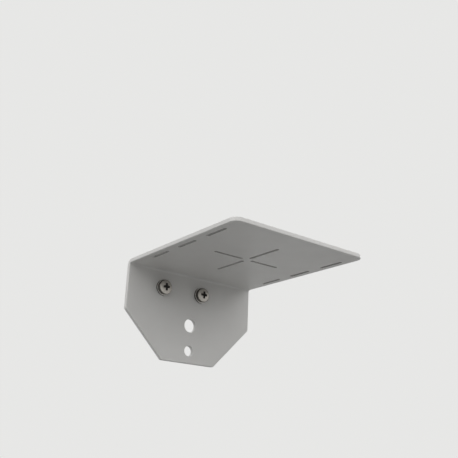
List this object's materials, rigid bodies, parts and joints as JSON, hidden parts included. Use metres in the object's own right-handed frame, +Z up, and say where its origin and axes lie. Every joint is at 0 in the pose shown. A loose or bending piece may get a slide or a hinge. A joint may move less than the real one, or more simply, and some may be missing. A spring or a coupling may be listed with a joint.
{
  "type": "camera wall bracket",
  "caption": "L-shaped folded sheet bracket: a slotted platform for a camera's base and a wall flange with cut corners, held by pan-head screws with washers.",
  "frame": {"origin": "on the flange's back face, on the bracket's centre line, at the height of the two wall screws", "axes": "+X along the wall, to the right for someone who faces it; +Y into the wall; +Z up, the way the platform's top face looks"},
  "size_m": [0.13, 0.1719, 0.0805],
  "materials": {
    "powder_coat": "fine satin powder coat, pale warm grey",
    "screw_metal": "satin nickel-plated steel",
    "washer_metal": "satin plated steel"
  },
  "bodies": {
    "root": {"folded_bracket": "powder_coat", "wall_screws": "screw_metal", "spring_washers": "washer_metal", "flat_washers": "washer_metal"}
  },
  "joints": []
}
